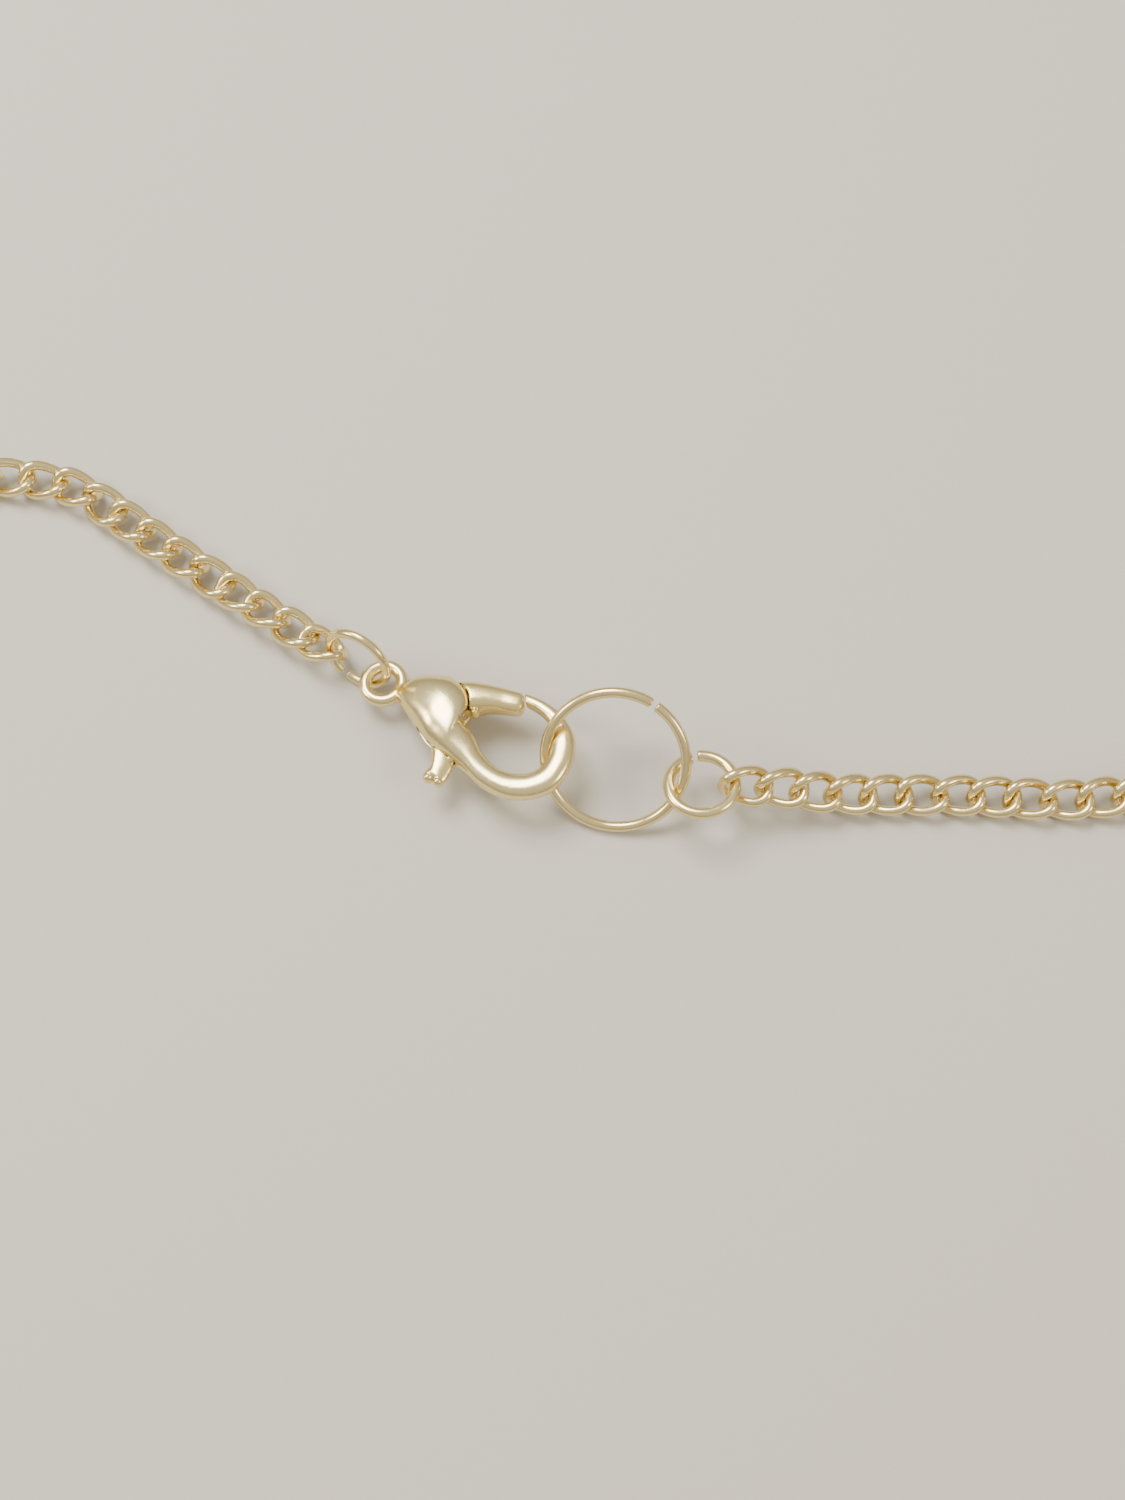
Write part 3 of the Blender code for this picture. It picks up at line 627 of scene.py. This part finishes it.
def eight_rows(first, past_end, inset):
    """One stroke of the figure eight, x = a cos t and y = b sin 2t over half a turn, with a
    section that is flat at the back and crowned at the front."""
    t = np.linspace(first - past_end, first + math.pi + past_end, 150)
    reach, rise = (EIGHT_LENGTH - EIGHT_BAND) / 2, (EIGHT_HEIGHT - EIGHT_BAND) / 2
    line = np.stack([reach * np.cos(t), rise * np.sin(2 * t), np.zeros(len(t))], -1)
    along = unit(np.gradient(line, axis=0))
    across = np.stack([-along[:, 1], along[:, 0], np.zeros(len(t))], -1)
    half, height = EIGHT_BAND / 2 - inset, EIGHT_THICKNESS - 2 * inset
    crown = np.radians(np.linspace(0, 180, 15))
    side = np.concatenate([[-0.85], [0.85], np.cos(crown)])
    height_share = np.concatenate([[0.0], [0.0], 0.42 + 0.58 * np.sin(crown) ** 0.8])
    section = across[:, None] * (side * half)[None, :, None]
    section[..., 2] += inset + height_share * height
    return line[:, None] + section


def make_eight(material):
    """The plain figure-eight link, its two strokes joined where they cross."""
    stroke = swept_form("eight_form", eight_rows(0.0, 0.0, 0.0))
    other = swept_form("second_stroke_form", eight_rows(math.pi, math.radians(4), 0.02))
    mesh = cast(stroke, [(other, "UNION")], *EIGHT_SKIN)
    finish_piece(onto_plan(mesh, 0.0, 0.0, EIGHT_PLACE), "infinity_casting", "necklace",
                 material, ["infinity_link"])


# Materials, with the sizes of their patterns in millimetres

TARNISH_MM = 2.2
POLISHING_MM = 0.25
WAVE_DEPTH_MM = 0.05


def linear(hex_colour):
    """An sRGB hex colour as linear light."""
    parts = np.array([int(hex_colour[k:k + 2], 16) for k in (1, 3, 5)]) / 255
    light = np.where(parts <= 0.04045, parts / 12.92, ((parts + 0.055) / 1.055) ** 2.4)
    return (*light.tolist(), 1.0)


def add_node(tree, kind, settings, links=()):
    """Add a node with its settings, and link the outputs given to its inputs."""
    node = tree.nodes.new(kind)
    for key, value in settings.items():
        if isinstance(key, str) and hasattr(node, key):
            setattr(node, key, value)
        else:
            node.inputs[key].default_value = value
    for output, socket in links:
        tree.links.new(output, node.inputs[socket])
    return node


def silver_plate(name, bright, dull, smooth, rough, wave, wave_mm):
    """Silver plating over brass, warm and bright. The plating's colour varies a little where it
    has worn or begun to tarnish, fine polishing marks vary the gloss, and shallow waves left by
    casting or drawing bend the reflections."""
    material = bpy.data.materials.new(name)
    material.use_nodes = True
    tree = material.node_tree
    shader = tree.nodes["Principled BSDF"]
    shader.inputs["Metallic"].default_value = 1.0
    place = add_node(tree, "ShaderNodeTexCoord", {})
    clouds = add_node(tree, "ShaderNodeTexNoise",
                      {"Scale": 1 / (TARNISH_MM * MM), "Detail": 3.0, "Roughness": 0.55},
                      [(place.outputs["Object"], "Vector")])
    tint = add_node(tree, "ShaderNodeMix", {"data_type": "RGBA"}, [(clouds.outputs["Fac"], "Factor")])
    tint.inputs[6].default_value = linear(bright)
    tint.inputs[7].default_value = linear(dull)
    tree.links.new(tint.outputs[2], shader.inputs["Base Color"])
    marks = add_node(tree, "ShaderNodeTexNoise",
                     {"Scale": 1 / (POLISHING_MM * MM), "Detail": 4.0, "Roughness": 0.6},
                     [(place.outputs["Object"], "Vector")])
    gloss = add_node(tree, "ShaderNodeMapRange",
                     {"From Min": 0.3, "From Max": 0.7, "To Min": smooth, "To Max": rough},
                     [(marks.outputs["Fac"], "Value")])
    tree.links.new(gloss.outputs["Result"], shader.inputs["Roughness"])
    waves = add_node(tree, "ShaderNodeTexNoise", {"Scale": 1 / (wave_mm * MM), "Detail": 1.0},
                     [(place.outputs["Object"], "Vector")])
    bump = add_node(tree, "ShaderNodeBump", {"Strength": wave, "Distance": WAVE_DEPTH_MM * MM},
                    [(waves.outputs["Fac"], "Height")])
    tree.links.new(bump.outputs["Normal"], shader.inputs["Normal"])
    return material


def plain(name, colour, roughness):
    """A plain matt surface of the studio."""
    material = bpy.data.materials.new(name)
    material.use_nodes = True
    shader = material.node_tree.nodes["Principled BSDF"]
    shader.inputs["Base Color"].default_value = linear(colour)
    shader.inputs["Roughness"].default_value = roughness
    return material


# Studio

# The floor's reach in metres and the camera's distance in millimetres
FLOOR_REACH = 1.6
CAMERA_DISTANCE = 107.9
CAMERA_ELEVATION = math.radians(70)


def make_studio(low):
    """A pale floor, soft light from above and the camera at the photograph's angle."""
    sheet = bpy.data.meshes.new("floor")
    corners = [(x * FLOOR_REACH, y * FLOOR_REACH, low) for x, y in ((-1, -1), (1, -1), (1, 1), (-1, 1))]
    sheet.from_pydata(corners, [], [(0, 1, 2, 3)])
    sheet.materials.append(plain("studio_floor_matt", "#C6C1B6", 0.9))
    floor = bpy.data.objects.new("floor", sheet)
    bpy.context.scene.collection.objects.link(floor)
    floor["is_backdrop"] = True

    world = bpy.data.worlds.new("studio")
    world.use_nodes = True
    sky = world.node_tree
    direction = add_node(sky, "ShaderNodeTexCoord", {})
    way_up = add_node(sky, "ShaderNodeSeparateXYZ", {}, [(direction.outputs["Generated"], "Vector")])
    fade = add_node(sky, "ShaderNodeValToRGB", {}, [(way_up.outputs["Z"], "Fac")])
    fade.color_ramp.elements[0].position = 0.02
    fade.color_ramp.elements[0].color = linear("#B0A998")
    fade.color_ramp.elements[1].position = 0.75
    fade.color_ramp.elements[1].color = linear("#F4EFE4")
    sky.links.new(fade.outputs["Color"], sky.nodes["Background"].inputs["Color"])
    sky.nodes["Background"].inputs["Strength"].default_value = 0.95
    bpy.context.scene.world = world

    target = (np.array([0.0, 0.0, 1.0]) + PLAN_TO_FRAME) * MM
    lights = (
        # name, size, power, direction to it, distance, colour
        ("softbox_above", 0.16, 1.0, (-0.35, 0.45, 1.0), 0.30, "#FFFFFF"),
        ("softbox_left", 0.10, 0.45, (-1.0, 0.1, 0.7), 0.30, "#FFF6E6"),
        ("softbox_right", 0.10, 0.3, (1.0, -0.3, 0.8), 0.32, "#FFF1DC"),
    )
    for name, size, power, way, distance, colour in lights:
        light = bpy.data.lights.new(name, "AREA")
        light.shape = "DISK"
        light.size = size
        light.energy = power
        light.color = linear(colour)[:3]
        lamp = bpy.data.objects.new(name, light)
        bpy.context.scene.collection.objects.link(lamp)
        way = unit(np.array(way))
        lamp.location = target + way * distance
        lamp.rotation_euler = (math.acos(way[2]), 0.0, math.atan2(way[0], -way[1]))

    camera = bpy.data.cameras.new("camera")
    camera.lens = 50
    camera.sensor_width = 36
    camera.clip_start = 0.001
    view = bpy.data.objects.new("camera", camera)
    bpy.context.scene.collection.objects.link(view)
    back = np.array([0.0, -math.cos(CAMERA_ELEVATION), math.sin(CAMERA_ELEVATION)])
    view.location = target + back * CAMERA_DISTANCE * MM
    view.rotation_euler = (math.pi / 2 - CAMERA_ELEVATION, 0.0, 0.0)
    bpy.context.scene.camera = view


# The whole necklace. Castings have broad soft highlights, the drawn wire narrower ones.
cast_plate = silver_plate("silver_plate_cast_tumbled", "#F5E4AE", "#E5CF90", 0.20, 0.28, 0.25, 1.6)
lever_plate = silver_plate("silver_plate_cast_lever", "#F5E3A4", "#E6CE86", 0.20, 0.28, 0.25, 1.2)
wire_plate = silver_plate("silver_plate_drawn_wire", "#F4E2AC", "#E0C989", 0.18, 0.28, 0.2, 0.8)

make_clasp_body(cast_plate)
make_clasp_lever(lever_plate)
for ring_name, ring_size in RINGS.items():
    make_ring(ring_name, ring_size, wire_plate)
make_chain("right", 1, RIGHT_FIRST_LINK, RIGHT_ROUTE, RIGHT_ROLL, RIGHT_LOOSENESS, wire_plate)
make_chain("left", -1, LEFT_FIRST_LINK, LEFT_ROUTE, LEFT_ROLL, LEFT_LOOSENESS, wire_plate)
for side_name, half_turn in (("right", 0.0), ("left", 180.0)):
    make_ring("ring_front_" + side_name, FRONT_RING, wire_plate, EIGHT_PLACE * (1, 1, 0), half_turn)
    make_front_link(side_name, half_turn, wire_plate)
make_eight(cast_plate)
make_studio(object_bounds()[0][2])
